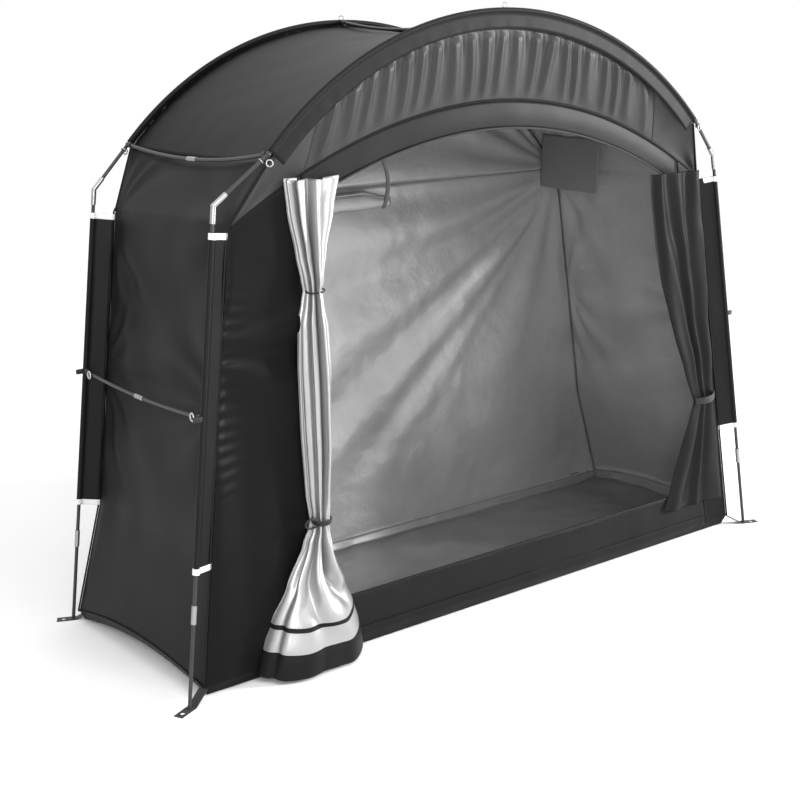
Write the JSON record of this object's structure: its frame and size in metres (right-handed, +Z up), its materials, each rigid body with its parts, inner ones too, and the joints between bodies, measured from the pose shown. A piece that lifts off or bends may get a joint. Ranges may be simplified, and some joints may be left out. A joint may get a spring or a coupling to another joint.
{
  "type": "bike shelter tent",
  "caption": "Pole-framed fabric bike shelter with an arched roof, gathered valance, open doorway with tied curtains, floor sheet and peg straps.",
  "frame": {"origin": "on the ground, at the middle of the floor sheet's underside", "axes": "+X to the right-hand end seen from the front, -Y out of the doorway, +Z up"},
  "size_m": [2.092, 0.8283, 1.607],
  "materials": {
    "pole": "black fibreglass, satin",
    "metal": "plated steel tube",
    "plastic": "moulded black",
    "cover": "coated polyester, charcoal",
    "lining": "silver-coated polyester",
    "floor": "silver-grey coated sheet",
    "webbing": "woven nylon webbing and cord",
    "reflective": "reflective tape",
    "vent": "dark grey cloth"
  },
  "bodies": {
    "root": {"front_arch_pole": "pole", "rear_arch_pole": "pole", "front_left_leg": "pole", "front_right_leg": "pole", "rear_left_leg": "pole", "rear_right_leg": "pole", "corner_elbows": "metal", "leg_ferrules": "metal", "ridge_spreader": "pole", "left_shoulder_spreader": "pole", "right_shoulder_spreader": "pole", "left_side_spreader": "pole", "right_side_spreader": "pole", "spreader_ferrules": "metal", "spreader_collars": "plastic", "hub_rings": "metal", "foot_straps": "webbing", "left_roof_panel": "cover", "right_roof_panel": "cover", "left_end_wall": "cover", "right_end_wall": "cover", "rear_wall": "cover", "rear_gable": "cover", "front_arch_sleeve": "cover", "rear_arch_sleeve": "cover", "valance": "cover", "left_gusset": "cover", "right_gusset": "cover", "door_header": "cover", "left_front_panel": "cover", "right_front_panel": "cover", "front_sill": "cover", "front_left_sleeve": "cover", "front_right_sleeve": "cover", "rear_left_sleeve": "cover", "rear_right_sleeve": "cover", "reflective_bands": "reflective", "floor_sheet": "floor", "left_curtain": "lining", "left_curtain_hem": "cover", "left_curtain_ties": "webbing", "right_curtain": "cover", "right_curtain_tie": "webbing", "vent_flap": "vent", "rolled_flap": "lining", "door_strap": "webbing"}
  },
  "joints": []
}
